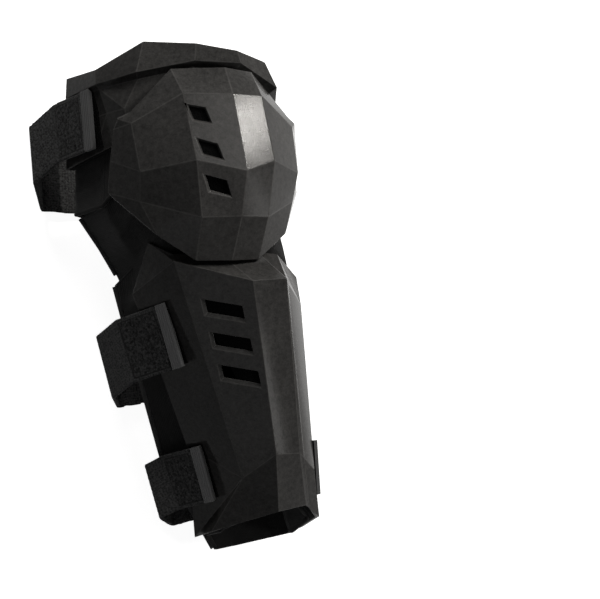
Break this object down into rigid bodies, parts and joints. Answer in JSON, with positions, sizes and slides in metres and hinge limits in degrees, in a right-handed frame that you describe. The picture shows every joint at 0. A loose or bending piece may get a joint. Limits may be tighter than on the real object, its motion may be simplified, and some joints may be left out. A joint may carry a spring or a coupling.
{
  "type": "elbow guard",
  "caption": "Faceted plastic elbow guard for the left arm: upper-arm cuff, vented elbow cup and slotted forearm shell on a fabric sleeve, closed by hook-and-loop straps.",
  "frame": {"origin": "middle of the box's base: the plane that the straps' backs lie on", "axes": "+Z to the outside of the arm, +Y to the shoulder, +X to the wearer's side of the left arm"},
  "size_m": [0.1788, 0.3342, 0.1525],
  "materials": {
    "shell_plastic": "moulded satin",
    "vent_mesh": "open mesh",
    "foam_pad": "closed foam",
    "sleeve_fabric": "knitted",
    "strap_webbing": "looped pile",
    "ribbed_tab": "ribbed",
    "hook_face": "hooks",
    "loop_face": "loops"
  },
  "bodies": {
    "forearm": {"forearm_shell": "shell_plastic", "forearm_vent_mesh": "vent_mesh", "forearm_pad": "foam_pad", "forearm_sleeve": "sleeve_fabric", "forearm_strap_band": "strap_webbing", "forearm_strap_end": "ribbed_tab", "forearm_strap_loop": "loop_face", "wrist_strap_band": "strap_webbing", "wrist_strap_end": "ribbed_tab", "wrist_strap_loop": "loop_face"},
    "elbow": {"elbow_gusset": "sleeve_fabric", "elbow_cup": "shell_plastic", "cup_vent_mesh": "vent_mesh", "cup_pad": "foam_pad"},
    "upper_arm": {"upper_arm_cuff": "shell_plastic", "cuff_pad": "foam_pad", "upper_arm_liner": "sleeve_fabric", "upper_strap_band": "strap_webbing", "upper_strap_end": "ribbed_tab", "upper_strap_loop": "loop_face"},
    "upper_flap": {"upper_strap_flap": "strap_webbing", "upper_strap_tab": "ribbed_tab", "upper_strap_hook": "hook_face"},
    "forearm_flap": {"forearm_strap_flap": "strap_webbing", "forearm_strap_tab": "ribbed_tab", "forearm_strap_hook": "hook_face"},
    "wrist_flap": {"wrist_strap_flap": "strap_webbing", "wrist_strap_tab": "ribbed_tab", "wrist_strap_hook": "hook_face"}
  },
  "joints": [
    {"name": "elbow_flex", "type": "hinge", "parent": "forearm", "child": "upper_arm", "pos_m": [0.00665, 0.06495, 0.092], "axis": [-1, 0, 0], "range_deg": [-2.5, 34]},
    {"name": "cup_follow", "type": "hinge", "parent": "forearm", "child": "elbow", "pos_m": [0.00665, 0.06495, 0.092], "axis": [-1, 0, 0], "range_deg": [-2.5, 17.5], "deforming": ["elbow_gusset"]},
    {"name": "upper_flap_fold", "type": "hinge", "parent": "upper_arm", "child": "upper_flap", "pos_m": [-0.07971, 0.1178, 0.01072], "axis": [0, -1, 0], "range_deg": [0, 100]},
    {"name": "forearm_flap_fold", "type": "hinge", "parent": "forearm", "child": "forearm_flap", "pos_m": [-0.04397, -0.01997, 0.01129], "axis": [0.1829, -0.9831, 0], "range_deg": [0, 100]},
    {"name": "wrist_flap_fold", "type": "hinge", "parent": "forearm", "child": "wrist_flap", "pos_m": [-0.01145, -0.10951, 0.0101], "axis": [0.1812, -0.9835, 0], "range_deg": [0, 100]}
  ],
  "couplings": [
    {"joint": "cup_follow", "follows": "elbow_flex", "ratio": 0.5}
  ]
}
